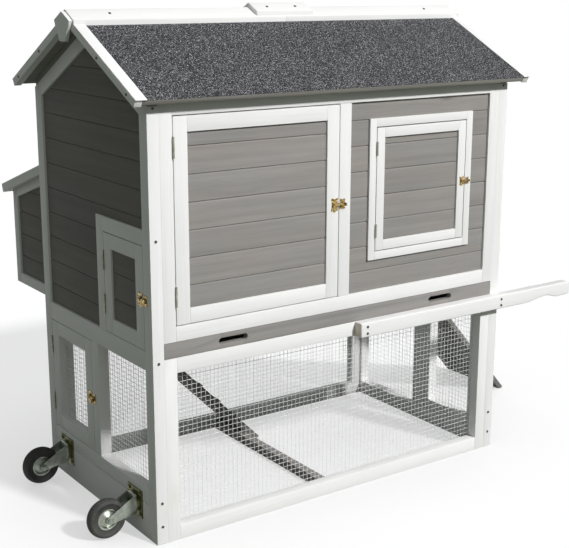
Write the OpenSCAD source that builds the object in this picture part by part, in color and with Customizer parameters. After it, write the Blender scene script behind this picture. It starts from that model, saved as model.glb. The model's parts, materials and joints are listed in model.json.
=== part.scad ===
// Chicken tractor: a wooden hen house over a meshed run, with a felted gable roof, a nest box,
// a pull-out droppings tray, two swivel castors at one end and two lifting handles at the other.
// Millimetres, +Z up. The origin is under the middle of the ground rail, on the ground.

/* [Body] */
// Length of the body over the corner posts
body_l = 1100; // [1000:10:1250]
// Depth of the body over the corner posts
body_d = 600; // [540:10:680]
// Distance from the ground rail to the middle of the body
rail_off = 27.5; // [0:0.5:60]
// Hairline between glued or screwed neighbours
joint_gap = 0.3; // [0.2:0.05:0.5]
// Gap between pieces that lie on each other
seat_gap = 0.05; // [0.02:0.01:0.1]

/* [Lumber] */
// Corner post, along the length
post_t = 30; // [24:1:40]
// Corner post, along the depth
post_w = 36; // [30:1:44]
// Thickness of the front and back frames
frame_t = 28; // [24:1:34]
// Width of the front and back stiles
stile_w = 33; // [28:1:42]
// Width of the stile between the big door and the boards
centre_w = 34.5; // [28:0.5:45]
// Height of the run's top and bottom rails
run_rail = 37; // [30:1:45]
// Height of the house sill
sill_h = 36; // [30:1:44]
// Height of the house top rail
head_h = 43; // [36:1:50]

/* [Levels] */
// Top of the run's frames
run_h = 459; // [430:1:500]
// Height of the slot that takes the tray
tray_slot = 39; // [36:1:48]
// Height of the house's front frame
house_h = 565; // [520:1:620]
// Drop of the end panels' middle rail under the run's top
mid_drop = 29; // [24:1:36]
// Height of the end panels' middle rail
mid_h = 46; // [40:1:50]

/* [Boards] */
// Thickness of the wall boards
board_t = 12; // [9:0.5:15]
// Cover of one tongue-and-groove board
board_pitch = 64.5; // [50:0.5:80]
// Height of the lowest board of a panel
board_first = 53; // [40:1:62]
// Depth of the boards behind the frame's face
board_recess = 6; // [4:0.5:9]
// Chamfer along a board's edges
board_chamfer = 1.8; // [1:0.1:2.5]

/* [Left end] */
// Height of the board that carries the castors
skirt_h = 89; // [84:1:90]
// Gap over that board
skirt_gap = 2; // [1:0.5:3]
// Width of the end panels' lower rails and middle stile
end_rail = 36; // [30:1:42]
// Width of the run door's opening
run_door_w = 239; // [220:1:250]
// Width of the house door's opening
house_door_w = 200; // [180:1:215]
// Height of the house door's opening
house_door_h = 251; // [220:1:280]
// Width of the trim round the house door
house_trim = 36; // [26:1:42]

/* [Right end] */
// Bottom rail of the right end
low_rail = 40; // [34:1:46]
// Width of the framed mesh panel's members
panel_rail = 35; // [30:1:40]
// Width of the pop hole
hole_w = 152; // [130:1:165]
// Height of the pop hole
hole_h = 240; // [210:1:260]
// Thickness of the sliding hatch
hatch_t = 9; // [8:0.5:12]
// Overlap of the hatch on the boards
hatch_lap = 10; // [8:1:12]
// Width of a hatch guide
guide_w = 14; // [12:1:16]
// Travel of the hatch
hatch_travel = 220; // [150:5:230]
// Distance of the pop hole from the corner post
hole_in = 28; // [26:1:40]
// Height of the pop hole over the middle rail
hole_up = 4; // [2:1:10]

/* [Doors] */
// Thickness of the doors
door_t = 20; // [16:1:24]
// Gap round a door
door_gap = 2.5; // [2.2:0.1:3.5]
// Width of a door's stiles and rails
door_rail = 36; // [30:1:42]
// Width of the window door's stiles and rails
window_rail = 25; // [20:1:30]
// Width of the window door
window_w = 302; // [260:1:330]
// Height of the window door
window_h = 315; // [280:1:350]
// Height of the window door over the sill
window_up = 104; // [80:1:120]
// Height of the head rail over the window door, which shares what the house leaves with window_up
window_over = 67; // [55:1:90]
// Width of the trim round the window door
window_trim = 21; // [19.5:0.5:28]
// Depth of a door's panel behind its frame
panel_recess = 5; // [3:0.5:6]
// Thickness of a door's panel
panel_t = 10; // [8:0.5:11]
// Distance of a door's hinges from its opening's corners
hinge_in = 71; // [60:1:90]
// Distance of the window door's hinges from its corners
window_hinge_in = 52; // [40:1:70]
// Share of a door's height at which its latch sits
latch_share = 0.49; // [0.4:0.01:0.6]

/* [Hardware] */
// Radius of a hinge knuckle
knuckle_r = 2.4; // [2.2:0.1:3]
// Radius of a hinge pin
pin_r = 1.2; // [1:0.1:1.5]
// Running clearance round a pin
pin_fit = 0.05; // [0.03:0.01:0.08]
// Air between a hinge knuckle and the wall
hinge_air = 0.2; // [0.1:0.05:0.3]
// Thickness of a hinge leaf
leaf_t = 0.9; // [0.7:0.1:1]
// Width of a hinge leaf
leaf_w = 14; // [10:1:15]
// Length of a door hinge
hinge_l = 48; // [40:1:60]
// Length of a window hinge
hinge_s = 35; // [30:1:45]
// Height of a latch plate
latch_h = 33; // [30:1:42]
// Width of a latch plate
latch_w = 21; // [20:1:24]
// Thickness of a latch plate
latch_t = 1.2; // [1:0.1:1.5]
// Distance of a latch plate from the door's edge
latch_in = 2; // [1:0.5:4]
// Height of a latch lever
lever_h = 8; // [7:0.5:10]
// Thickness of a latch lever
lever_t = 2.7; // [2:0.1:3]
// Lift of a latch lever over its plate
lever_lift = 1.1; // [0.8:0.1:1.5]
// Reach of a latch lever past the gap
lever_reach = 15; // [13:0.5:17]
// Size of the window door's latch beside the others
window_latch_size = 0.7; // [0.65:0.05:1]
// Radius of a latch's pivot
pivot_r = 2.5; // [2:0.1:3]
// Radius of a frame screw's head
screw_r = 3.4; // [2.5:0.1:4.5]
// Height of a frame screw's head
screw_t = 1.4; // [1:0.1:2]
// Height of the lowest frame screws
screw_z = 45; // [30:1:60]
// Distance between the two lowest frame screws
screw_pitch = 60; // [40:1:80]

/* [Net] */
// Width of a net's wire as it is drawn
wire = 1.2; // [1:0.1:2]
// Pitch of the long nets as they are drawn
long_pitch = 37; // [36:1:60]
// Pitch of the end nets as they are drawn
end_pitch = 22; // [21:1:40]
// Lap of a net behind its frame
net_lap = 9; // [6:1:12]

/* [Roof] */
// Slope of the roof
roof_pitch = 27; // [22:0.5:31]
// Overhang of the roof at the eaves
eave = 28; // [20:1:50]
// Overhang of the roof at the gables
verge = 45; // [36:1:60]
// Thickness of the roof boarding
deck_t = 11; // [8:0.5:14]
// Thickness of the felt
felt_t = 2; // [1.5:0.5:3]
// Height of the battens under the boarding
batten_h = 18; // [14:1:26]
// Width of the battens under the boarding
batten_w = 24; // [18:1:26]
// Width of the gable's sloping rails
rake_w = 34; // [30:1:42]
// Thickness of a barge board
barge_t = 19; // [16:1:24]
// Depth of a barge board
barge_h = 17; // [14:1:30]
// Width of the left barge board's top strip, which laps the felt
flange_w = 29; // [24:1:42]
// Width of the right barge board's top strip
flange_right = 21; // [19:1:42]
// Thickness of a barge board's top strip
flange_t = 3; // [2:0.5:9]
// Width of a ridge board
cap_w = 51; // [48:1:70]
// Thickness of a ridge board
cap_t = 12; // [9:0.5:14]
// Length of the saddle over the ridge joint
saddle_l = 176; // [120:2:220]
// Width of a saddle board
saddle_w = 46; // [36:1:48]
// Thickness of a saddle board
saddle_t = 10; // [8:0.5:12]
// Width of a finial over its shoulders
finial_w = 83; // [70:1:95]
// Height of a finial
finial_h = 69; // [60:1:80]
// Thickness of a finial
finial_t = 9; // [8:1:14]
// Rise of a finial's tip over the felt's ridge
finial_up = 9; // [6:1:14]
// Distance of the outer ridge screws from the ends of the body
ridge_screw_in = 60; // [20:1:120]

/* [Tray] */
// Thickness of the tray's front board
tray_front_t = 18; // [15:1:22]
// Clearance round the tray's front
tray_gap = 0.8; // [0.5:0.1:1.2]
// Thickness of the tray's sheet
sheet = 1; // [0.8:0.1:1.5]
// Height of the tray's rim
rim_h = 30; // [24:1:32]
// Length of a hand slot
slot_l = 82; // [70:1:95]
// Height of a hand slot
slot_h = 16; // [13:0.5:18]
// Distance of a hand slot from the middle
slot_x = 331; // [280:1:380]
// Width of the tray's runners
runner_w = 24; // [20:1:30]
// Height of the tray's runners
runner_h = 23; // [18:1:26]
// Lift of the tray over its runners
tray_lift = 0.5; // [0.3:0.1:1]
// Clearance at the pan's sides
pan_side = 5; // [3:0.5:8]
// Clearance behind the pan
pan_back = 2; // [1:0.5:4]
// Length of the pan's notch over the inner ramp
notch_l = 295; // [240:5:340]
// Clearance of the notch beside the inner ramp
notch_side = 20; // [12:1:30]

/* [Ramps] */
// Thickness of the ramps
ramp_t = 16; // [14:1:20]
// Level run of the inner ramp
ramp_run = 432; // [380:2:440]
// Drop of the inner ramp's top under the tray
ramp_drop = 4; // [3:1:8]
// Clearance of the inner ramp at the back
ramp_side = 2; // [1:0.5:5]
// Width of the inner ramp
ramp_w = 140; // [110:1:150]
// Slope of the outside ramp
step_pitch = 48.3; // [46:0.1:50]
// Width of the outside ramp
step_w = 245; // [200:1:250]
// Distance of the outside ramp from the middle
step_y = 34; // [25:1:40]
// Drop of the outside ramp's top under the run's top
step_drop = 21; // [15:1:29]
// Height of a ramp's treads
tread_h = 8; // [6:1:10]
// Width of a ramp's treads
tread_w = 14; // [10:1:18]
// Pitch of a ramp's treads
tread_pitch = 84; // [70:1:110]
// Distance of a tread from the ramp's edges
tread_in = 8; // [4:1:15]
// Side of the ground rail
ground_rail = 25; // [20:1:30]
// Width of the perch
perch_w = 36; // [30:1:45]
// Height of the perch's bar
perch_h = 25; // [20:1:35]
// Height of the perch over the tray
perch_up = 150; // [120:5:200]
// Distance of the perch behind the middle
perch_y = 120; // [100:5:160]

/* [Nest box] */
// Width of the nest box
nest_w = 500; // [420:5:560]
// Depth of the nest box
nest_d = 263; // [230:1:300]
// Height of the nest box's floor over the run's top
nest_up = 8; // [2:1:15]
// Height of the nest box at its back
nest_h = 281; // [260:1:295]
// Slope of the nest lid
lid_pitch = 18; // [12:0.5:20]
// Overhang of the nest lid at its sides
lid_side = 20; // [16:1:26]
// Clearance between the nest lid's rim and the nest box
lid_air = 2; // [1:0.5:4]
// Overhang of the nest lid at its back
lid_back = 33; // [26:1:40]
// Thickness of the nest lid's board
lid_t = 9; // [8:0.5:13]
// Depth of the rim under the nest lid
lid_rim = 15; // [13:1:20]
// Width of the nest box's frame members
nest_frame = 28; // [24:1:34]
// Height of the nest box's top rails
nest_top = 40; // [32:1:46]
// Thickness of the nest box's frame
nest_t = 18; // [15:1:22]
// Depth of the nest box's boards behind its frame
nest_recess = 6; // [4:0.5:8]
// Drop of the divider under the nest lid's back edge
divider_drop = 40; // [30:1:60]
// Distance of the lid's hinges from the nest box's sides
lid_hinge_in = 90; // [60:1:120]
// Length of a lid hinge's leaf down the lid
lid_leaf = 26; // [20:1:32]
// Height of a lid hinge's leaf on the wall
wall_leaf = 22; // [18:1:26]
// Distance of the lid's felt from the lid's edges
lid_felt_in = 12; // [5:1:20]

/* [Handles] */
// Thickness of a handle
handle_t = 28; // [22:1:34]
// Height of a handle
handle_h = 38; // [32:1:42]
// Length of a handle on the body
handle_in = 511; // [420:1:530]
// Length of a handle past the end
handle_out = 272; // [220:1:320]
// Depth of the waist before the grip
handle_waist = 10; // [6:1:14]
// Distance of a handle's screws from its inner end
handle_screw_in = 20; // [14:1:40]

/* [Castors] */
// Height of the castors' swivel
castor_z = 78; // [76:1:84]
// Distance of a castor from the middle
castor_y = 194; // [150:1:215]
// Side of a castor's plate
plate_w = 72; // [66:1:78]
// Thickness of a castor's plate
plate_t = 3; // [2.5:0.5:4]
// Thickness of the swivel's ball race
race_t = 6; // [5:0.5:8]
// Radius of the swivel's ball race
race_r = 25; // [22:0.5:26]
// Radius of the king pin
king_r = 6; // [5:0.5:7]
// Length of the king pin under the ball race
king_l = 8; // [7:0.5:10]
// Distance of the axle from the end
axle_out = 81; // [78:1:88]
// Distance of the axle under the swivel
trail = 26; // [20:1:26]
// Diameter of a wheel
wheel_d = 100; // [90:1:100]
// Width of a tyre
tyre_w = 28; // [22:1:30]
// Depth of a tyre's rubber
tyre_h = 23; // [18:1:26]
// Radius of the axle
axle_r = 5; // [4:0.5:6]
// Thickness of the fork's legs
fork_t = 3; // [2.5:0.5:4]
// Gap between the fork's legs
fork_gap = 37; // [35:1:42]
// Width of a fork's leg at the swivel
fork_w = 49; // [40:1:52]
// Radius of a fork's leg round the axle
fork_boss = 9.5; // [8:0.5:12]

/* [Hidden] */
$fn = 64;
xl = rail_off - body_l / 2;
xr = rail_off + body_l / 2;
yf = -body_d / 2;
yb = body_d / 2;
house_z = run_h + tray_slot;
house_top = house_z + house_h;
door_z = house_z + sill_h;
head_z = house_top - head_h;
mid_z = run_h - mid_drop;
mid_top = mid_z + mid_h;
end_in = body_d / 2 - post_w;
front_in = body_l / 2 - post_t;
door_in = front_in - stile_w;
end_low = skirt_h + skirt_gap + end_rail;
hinge_out = knuckle_r + hinge_air;
lever_w0 = latch_t + lever_lift;
lever_w1 = lever_w0 + lever_t;
net_w = -frame_t;
house_u1 = end_in;
house_u0 = end_in - house_door_w;
house_v1 = mid_top + house_door_h;
run_u0 = -end_in;
run_u1 = run_door_w - end_in;
window_u = rail_off + (centre_w / 2 + door_in) / 2;
window_v = door_z + (head_z - door_z - window_h) * window_up / (window_up + window_over);
front_latch = [rail_off - centre_w / 2 - door_gap, door_z + latch_share * (head_z - door_z)];
window_latch = [window_u + window_w / 2, window_v + latch_share * window_h];
house_latch = [house_u1 - door_gap, mid_top + latch_share * house_door_h];
run_latch = [run_u1 - door_gap, end_low + latch_share * (mid_z - end_low)];
front_hinge = [rail_off - door_in + door_gap / 2, door_z + hinge_in, head_z - hinge_in, hinge_l];
window_hinge = [window_u - (window_w + door_gap) / 2, window_v + window_hinge_in,
                window_v + window_h - window_hinge_in, hinge_s];
house_hinge = [house_u0 + door_gap / 2, mid_top + hinge_in, house_v1 - hinge_in, hinge_l];
run_hinge = [run_u0 + door_gap / 2, end_low + hinge_in, mid_z - hinge_in, hinge_l];
front_door = [rail_off - door_in + door_gap, front_latch[0], door_z + door_gap, head_z - door_gap];
window_door = [window_u - window_w / 2, window_latch[0], window_v, window_v + window_h];
house_door = [house_u0 + door_gap, house_latch[0], mid_top + door_gap, house_v1 - door_gap];
run_door = [run_u0 + door_gap, run_latch[0], end_low + door_gap, mid_z - door_gap];
tan_r = tan(roof_pitch);
cos_r = cos(roof_pitch);
sin_r = sin(roof_pitch);
half_roof = body_d / 2 + eave;
felt_n = deck_t + felt_t;
rake_n = -batten_h - joint_gap;
board_n = rake_n - rake_w - joint_gap;
roof_x0 = xl - verge;
roof_x1 = xr + verge;
cap_y = cap_w * cos_r;
tray_z0 = run_h + tray_lift;
tray_z1 = house_z - tray_gap;
pan_x = front_in - pan_side;
pan_y0 = yf + tray_front_t;
pan_y1 = yb - post_w - pan_back;
ramp_y1 = yb - frame_t - ramp_side;
ramp_y0 = ramp_y1 - ramp_w;
ramp_top = run_h - ramp_drop;
ramp_pitch = acos(ramp_t / norm([ramp_top, ramp_run])) - atan2(ramp_run, ramp_top);
ramp_foot = ground_rail / 2 + (ground_rail + joint_gap) / tan(ramp_pitch);
joist_x1 = ramp_foot - ramp_run - joint_gap;
step_z = run_h - step_drop;
step_foot = xr + joint_gap + (step_z - ramp_t / cos(step_pitch)) / tan(step_pitch);
net_end = body_d / 2 - frame_t - joint_gap;
net_top = min(mid_z + net_lap, run_h - runner_h - joint_gap);
notch_x1 = joist_x1 + notch_l;
notch_y = ramp_y0 - notch_side;
nest_x0 = xl + post_t;
nest_x1 = nest_x0 + nest_w;
nest_y1 = yb + nest_d;
nest_z = run_h + nest_up;
lid_tan = tan(lid_pitch);
lid_cos = cos(lid_pitch);
lid_axis_y = yb + hinge_out;
lid_n1 = -knuckle_r - seat_gap;
lid_n0 = lid_n1 - lid_t;
lid_axis_z = nest_z + nest_h + (nest_y1 - lid_axis_y) * lid_tan + (joint_gap - lid_n0) / lid_cos;
lid_x0 = nest_x0 - lid_side;
lid_x1 = nest_x1 + lid_side;
lid_s1 = (nest_y1 + lid_back - lid_axis_y) / lid_cos;
rim_t = lid_side - lid_air;
hole_u1 = end_in - hole_in;
hole_u0 = hole_u1 - hole_w;
hole_z = mid_top + hole_up;
fork_z = -plate_t - race_t;
wheel_r = wheel_d / 2;
hub_r = wheel_r - tyre_h;

// A box from one corner to the opposite one
module box(a, b) {
    translate(a) cube(b - a);
}

// Wall frames: u runs along the wall as seen from outside, v is height, w points out of the wall
module on_front() {
    translate([0, yf, 0]) rotate([90, 0, 0]) children();
}
module on_back() {
    translate([0, yb, 0]) rotate([90, 0, 180]) children();
}
module on_left() {
    translate([xl, 0, 0]) rotate([90, 0, -90]) children();
}
module on_right() {
    translate([xr, 0, 0]) rotate([90, 0, 90]) children();
}

// An outline in the Y-Z plane, drawn out along X from x0 to x1
module along_x(x0, x1) {
    translate([x0, 0, 0]) rotate([90, 0, 90]) linear_extrude(x1 - x0) children();
}

// Height of a roof layer at the distance y from the ridge, n above the boarding's underside
function roof_z(y, n) = house_top + joint_gap + (body_d / 2 - y) * tan_r + n / cos_r;

// One layer of a roof slope between two distances from the ridge; a lean of 1 cuts its eave square
module roof_layer(side, x0, x1, y0, y1, n0, n1, lean = 0) {
    low = y1 + lean * n0 * sin_r;
    high = y1 + lean * n1 * sin_r;
    along_x(x0, x1)
        polygon([[side * y0, roof_z(y0, n0)], [side * low, roof_z(low, n0)],
                 [side * high, roof_z(high, n1)], [side * y0, roof_z(y0, n1)]]);
}

// One wall board with chamfered edges on its outer face
module board(u0, u1, v0, v1, out, thick) {
    c = board_chamfer;
    translate([u0, 0, out])
        rotate([90, 0, 90])
            linear_extrude(u1 - u0)
                polygon([[v0, -thick], [v1, -thick], [v1, -c], [v1 - c, 0], [v0 + c, 0], [v0, -c]]);
}

// Boards stacked from v0 to v1, hairlines between them
module board_stack(u0, u1, v0, v1, out, thick) {
    count = ceil((v1 - v0 - board_first) / board_pitch);
    for (i = [0 : count]) {
        low = i == 0 ? v0 : v0 + board_first + (i - 1) * board_pitch;
        high = i == count ? v1 : v0 + board_first + i * board_pitch - joint_gap;
        if (high - low > 4 * board_chamfer) board(u0, u1, low, high, out, thick);
    }
}

// Boards cut to the outline that the children give
module board_wall(u0, u1, v0, v1, out = -board_recess, thick = board_t) {
    count = ceil((v1 - v0 - board_first) / board_pitch);
    for (i = [0 : count]) {
        low = i == 0 ? v0 : v0 + board_first + (i - 1) * board_pitch;
        high = i == count ? v1 : v0 + board_first + i * board_pitch - joint_gap;
        if (high - low > 4 * board_chamfer)
            intersection() {
                board(u0, u1, low, high, out, thick);
                translate([0, 0, out - 2 * thick]) linear_extrude(3 * thick) children();
            }
    }
}

// A frame of two stiles and two rails, butted at the corners
module butt_frame(u0, u1, v0, v1, wide, thick) {
    box([u0, v0, -thick], [u0 + wide, v1, 0]);
    box([u1 - wide, v0, -thick], [u1, v1, 0]);
    for (v = [v0, v1 - wide])
        box([u0 + wide + joint_gap, v, -thick], [u1 - wide - joint_gap, v + wide, 0]);
}

// A flat welded net, with its wires on a regular pitch
module net(u0, u1, v0, v1, w, pitch) {
    nu = floor((u1 - u0 - wire) / pitch);
    nv = floor((v1 - v0 - wire) / pitch);
    du = (u1 - u0 - wire) / nu;
    dv = (v1 - v0 - wire) / nv;
    holes = [for (i = [0 : nu - 1], j = [0 : nv - 1])
             let (a = u0 + wire + i * du, b = v0 + wire + j * dv)
             for (p = [[a, b], [a + du - wire, b], [a + du - wire, b + dv - wire], [a, b + dv - wire]]) p];
    rim = [[u0, v0], [u1, v0], [u1, v1], [u0, v1]];
    translate([0, 0, w - joint_gap - wire])
        linear_extrude(wire)
            polygon(concat(rim, holes),
                    concat([[0, 1, 2, 3]],
                           [for (k = [0 : nu * nv - 1]) [for (m = [0 : 3]) 4 + 4 * k + m]]));
}

// A round bar along v
module v_bar(v0, v1, r) {
    translate([0, v0, 0]) rotate([-90, 0, 0]) cylinder(h = v1 - v0, r = r);
}

// The leaf that is fixed to the frame, with its pin; the hinge axis is along v
module fixed_leaf(long) {
    third = long / 3;
    clear = knuckle_r + 2 * hinge_air;
    g = door_gap / 2;
    v_bar(-long / 2, long / 2, pin_r);
    for (v = [-long / 2, long / 6]) {
        v_bar(v, v + third, knuckle_r);
        box([-g, v, -leaf_w], [-g + leaf_t, v + third, 0]);
    }
    box([-g, -long / 2, -leaf_w], [-g + leaf_t, long / 2, -clear]);
}

// The leaf that swings with the door
module moving_leaf(long) {
    third = long / 3;
    clear = knuckle_r + 2 * hinge_air;
    g = door_gap / 2;
    difference() {
        union() {
            v_bar(joint_gap - third / 2, third / 2 - joint_gap, knuckle_r);
            box([g - leaf_t, joint_gap - third / 2, -leaf_w], [g, third / 2 - joint_gap, 0]);
            box([g - leaf_t, -long / 2, -leaf_w], [g, long / 2, -clear]);
        }
        v_bar(-long, long, pin_r + pin_fit);
    }
}

// Both hinges of a door, given as [u of the gap, lower v, upper v, length]
module at_hinges(h) {
    for (k = [1, 2]) translate([h[0], h[k], hinge_out]) children();
}

// A pressed plate with a lobe at each corner and a screw in each lobe
module lobed_plate(wide, high, lobe) {
    u = wide / 2 - lobe;
    v = high / 2 - lobe;
    head_t = 0.7;
    linear_extrude(latch_t) {
        square([wide - lobe, high - lobe], center = true);
        for (a = [-u, u], b = [-v, v]) translate([a, b]) circle(lobe);
    }
    for (a = [-u, u], b = [-v, v]) translate([a, b, 0]) cylinder(h = latch_t + head_t, r = lobe * 0.55);
}

// Place of a latch's pivot inside the door's edge, for a latch of the size k
function pivot_u(k) = -latch_in - k * latch_w / 2;

// The latch's plate on the door, with a drop under it and the lever's pivot stud
module latch_plate(k = 1) {
    drop = k * latch_w / 6;
    stud = k * pivot_r;
    head_t = 2;
    translate([pivot_u(k), 0, 0]) {
        lobed_plate(k * latch_w, k * latch_h, drop);
        translate([0, -k * latch_h / 2, 0]) cylinder(h = latch_t, r = drop);
        cylinder(h = lever_w0 - joint_gap, r = 2.2 * stud);
        cylinder(h = lever_w1 + head_t, r = stud);
        translate([0, 0, lever_w1 + joint_gap]) cylinder(h = head_t - joint_gap, r = 1.8 * stud);
    }
}

// The latch's lever, a bar with a round eye and a turned-out thumb piece
module latch_lever(k = 1) {
    tip = door_gap + k * lever_reach;
    half = k * lever_h / 2;
    stud = k * pivot_r;
    thumb = 3;
    translate([0, 0, lever_w0])
        difference() {
            union() {
                translate([pivot_u(k), 0, 0]) cylinder(h = lever_t, r = 2.8 * stud);
                box([pivot_u(k), -half, 0], [tip, half, lever_t]);
                box([tip - thumb, -half, 0], [tip, half, 4 * k * lever_t]);
            }
            translate([pivot_u(k), 0, -lever_t]) cylinder(h = 3 * lever_t, r = stud + pin_fit);
        }
}

// The keeper on the frame, a lobed plate with a shelf under the lever
module latch_keeper(k = 1) {
    edge = 1.5;
    wide = k * lever_reach + edge;
    shelf = 2;
    translate([door_gap + edge + wide / 2, 0, 0]) {
        lobed_plate(wide, k * latch_h * 0.8, wide / 5);
        translate([-wide / 4, -k * lever_h / 2 - joint_gap - shelf / 2, latch_w / 6])
            cube([wide / 2, shelf, latch_w / 3], center = true);
    }
}

module at_latch(l) {
    translate([l[0], l[1], 0]) children();
}

// Frames and walls

// Four full-height corner posts, cut to the roof's slope at the top
module corner_posts() {
    color("white")
        for (x = [xl, xr - post_t], side = [-1, 1])
            along_x(x, x + post_t)
                polygon([[side * end_in, 0], [side * body_d / 2, 0],
                         [side * body_d / 2, roof_z(body_d / 2, rake_n)],
                         [side * end_in, roof_z(end_in, rake_n)]]);
}

// Members that both end panels share: the middle rail and the two sloping rails of the gable
module gable_members(x0) {
    box([x0, -end_in + joint_gap, mid_z], [x0 + post_t, end_in - joint_gap, mid_top]);
    for (side = [-1, 1])
        roof_layer(side, x0, x0 + post_t, joint_gap / 2, end_in - joint_gap, rake_n - rake_w, rake_n);
}

// Left end panel with the castor board under it
module left_end_frame() {
    color("white") {
        gable_members(xl);
        on_left() {
            box([-end_in + joint_gap, 0, -post_t], [end_in - joint_gap, skirt_h, 0]);
            box([-end_in + joint_gap, skirt_h + skirt_gap, -post_t], [end_in - joint_gap, end_low, 0]);
            box([run_u1, end_low + joint_gap, -post_t], [run_u1 + end_rail, mid_z - joint_gap, 0]);
        }
    }
}

// Right end panel, with a framed mesh panel beside its middle stile
module right_end_frame() {
    color("white") {
        gable_members(xr - post_t);
        on_right() {
            box([-end_in + joint_gap, 0, -post_t], [end_in - joint_gap, low_rail, 0]);
            box([run_u1, low_rail + joint_gap, -post_t], [run_u1 + end_rail, mid_z - joint_gap, 0]);
            butt_frame(run_u0 + joint_gap, run_u1 - joint_gap, low_rail + joint_gap, mid_z - joint_gap,
                       panel_rail, post_t);
        }
    }
}

// Outline of a gable's boards
module gable_outline() {
    polygon([[joint_gap - end_in, mid_top + joint_gap], [end_in - joint_gap, mid_top + joint_gap],
             [end_in - joint_gap, roof_z(end_in, board_n)], [0, roof_z(0, board_n)],
             [joint_gap - end_in, roof_z(end_in, board_n)]]);
}

// Left gable boards, cut out for the house door
module left_gable_boards() {
    color("dimgray")
        on_left()
            board_wall(-end_in, end_in, mid_top + joint_gap, roof_z(0, board_n))
                difference() {
                    gable_outline();
                    translate([house_u0, mid_top]) square([house_door_w, house_door_h]);
                }
}

// Right gable boards, cut out for the pop hole
module right_gable_boards() {
    color("dimgray")
        on_right()
            board_wall(-end_in, end_in, mid_top + joint_gap, roof_z(0, board_n))
                difference() {
                    gable_outline();
                    translate([hole_u0, hole_z]) square([hole_w, hole_h]);
                }
}

// Fixed net in the left end, behind the frame
module left_run_mesh() {
    color("silver")
        on_left()
            net(run_u1 + end_rail - net_lap, net_end, end_low - net_lap, net_top, -post_t, end_pitch);
}

// One net behind the whole right end
module right_run_mesh() {
    color("silver")
        on_right()
            net(-net_end, net_end, low_rail - net_lap, net_top, -post_t, end_pitch * 1.6);
}

// Trims on the boards: round the window, round the house door, the rail that the nest lid is
// hinged to, and the hatch's guides
module door_trims() {
    t = board_recess;
    wu = window_w / 2 + door_gap;
    wv0 = window_v - door_gap;
    wv1 = window_v + window_h + door_gap;
    lip = 5;
    run = hatch_t + 2 * joint_gap;
    color("white") {
        on_front() {
            for (s = [-1, 1])
                box([window_u + s * (wu + window_trim / 2) - window_trim / 2, wv0 - window_trim, -t],
                    [window_u + s * (wu + window_trim / 2) + window_trim / 2, wv1 + window_trim, 0]);
            for (v = [wv0 - window_trim, wv1])
                box([window_u - wu + joint_gap, v, -t], [window_u + wu - joint_gap, v + window_trim, 0]);
        }
        on_left() {
            box([house_u0 - house_trim, mid_top + joint_gap, -t], [house_u0, house_v1 + house_trim, 0]);
            box([house_u0 + joint_gap, house_v1, -t], [house_u1 - joint_gap, house_v1 + house_trim, 0]);
        }
        on_back()
            box([-nest_x1 + joint_gap, lid_axis_z - wall_leaf / 2, -t],
                [-rail_off + door_in - joint_gap, lid_axis_z + 1.4 * wall_leaf, 0]);
        on_right()
            for (s = [-1, 1])
                translate([(hole_u0 + hole_u1) / 2, 0, -t])
                    rotate([-90, 0, 0])
                        translate([0, 0, mid_top + joint_gap])
                            linear_extrude(hole_h + hatch_travel + 2 * hatch_lap)
                                hatch_guide(s, run, lip);
    }
}

// Section of a hatch guide: a spacer with a lip over the hatch's edge
module hatch_guide(s, run, lip) {
    u = hole_w / 2 + hatch_lap + joint_gap;
    polygon([for (p = [[u, 0], [u + guide_w, 0], [u + guide_w, -run - lip], [u - lip, -run - lip],
                       [u - lip, -run], [u, -run]]) [s * p[0], p[1]]]);
}

// Front frame: house frame over the tray's slot, run frame under it
module front_frame() {
    color("white")
        on_front() {
            for (s = [-1, 1])
                translate([rail_off + s * (front_in - stile_w / 2), 0, 0]) {
                    box([-stile_w / 2, house_z, -frame_t], [stile_w / 2, house_top, 0]);
                    box([-stile_w / 2, 0, -frame_t], [stile_w / 2, run_h, 0]);
                }
            for (z = [[0, run_rail], [run_h - run_rail, run_h], [house_z, door_z], [head_z, house_top]])
                box([rail_off - door_in + joint_gap, z[0], -frame_t],
                    [rail_off + door_in - joint_gap, z[1], 0]);
            box([rail_off - centre_w / 2, door_z + joint_gap, -frame_t],
                [rail_off + centre_w / 2, head_z - joint_gap, 0]);
        }
}

// Fixed boards beside the big door, cut out for the window door
module front_boards() {
    u0 = rail_off + centre_w / 2 + joint_gap;
    u1 = rail_off + door_in - joint_gap;
    v0 = door_z + joint_gap;
    v1 = head_z - joint_gap;
    color("gray")
        on_front()
            board_wall(u0, u1, v0, v1)
                difference() {
                    translate([u0, v0]) square([u1 - u0, v1 - v0]);
                    translate([window_u - window_w / 2 - door_gap, window_v - door_gap])
                        square([window_w + 2 * door_gap, window_h + 2 * door_gap]);
                }
}

// Net behind the front run frame
module front_run_mesh() {
    color("silver")
        on_front()
            net(rail_off - door_in - net_lap, rail_off + door_in + net_lap, run_rail - net_lap,
                run_h - run_rail + net_lap, net_w, long_pitch);
}

// Back frame: as the front one, with a stile beside the nest box
module back_frame() {
    color("white")
        on_back() {
            for (s = [-1, 1])
                translate([-rail_off + s * (front_in - stile_w / 2), 0, 0]) {
                    box([-stile_w / 2, house_z, -frame_t], [stile_w / 2, house_top, 0]);
                    box([-stile_w / 2, 0, -frame_t], [stile_w / 2, run_h, 0]);
                }
            for (z = [[0, run_rail], [run_h - run_rail, run_h], [house_z, door_z], [head_z, house_top]])
                box([-rail_off - door_in + joint_gap, z[0], -frame_t],
                    [-rail_off + door_in - joint_gap, z[1], 0]);
            box([-nest_x1 - stile_w, door_z + joint_gap, -frame_t], [-nest_x1, head_z - joint_gap, 0]);
        }
}

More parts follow.
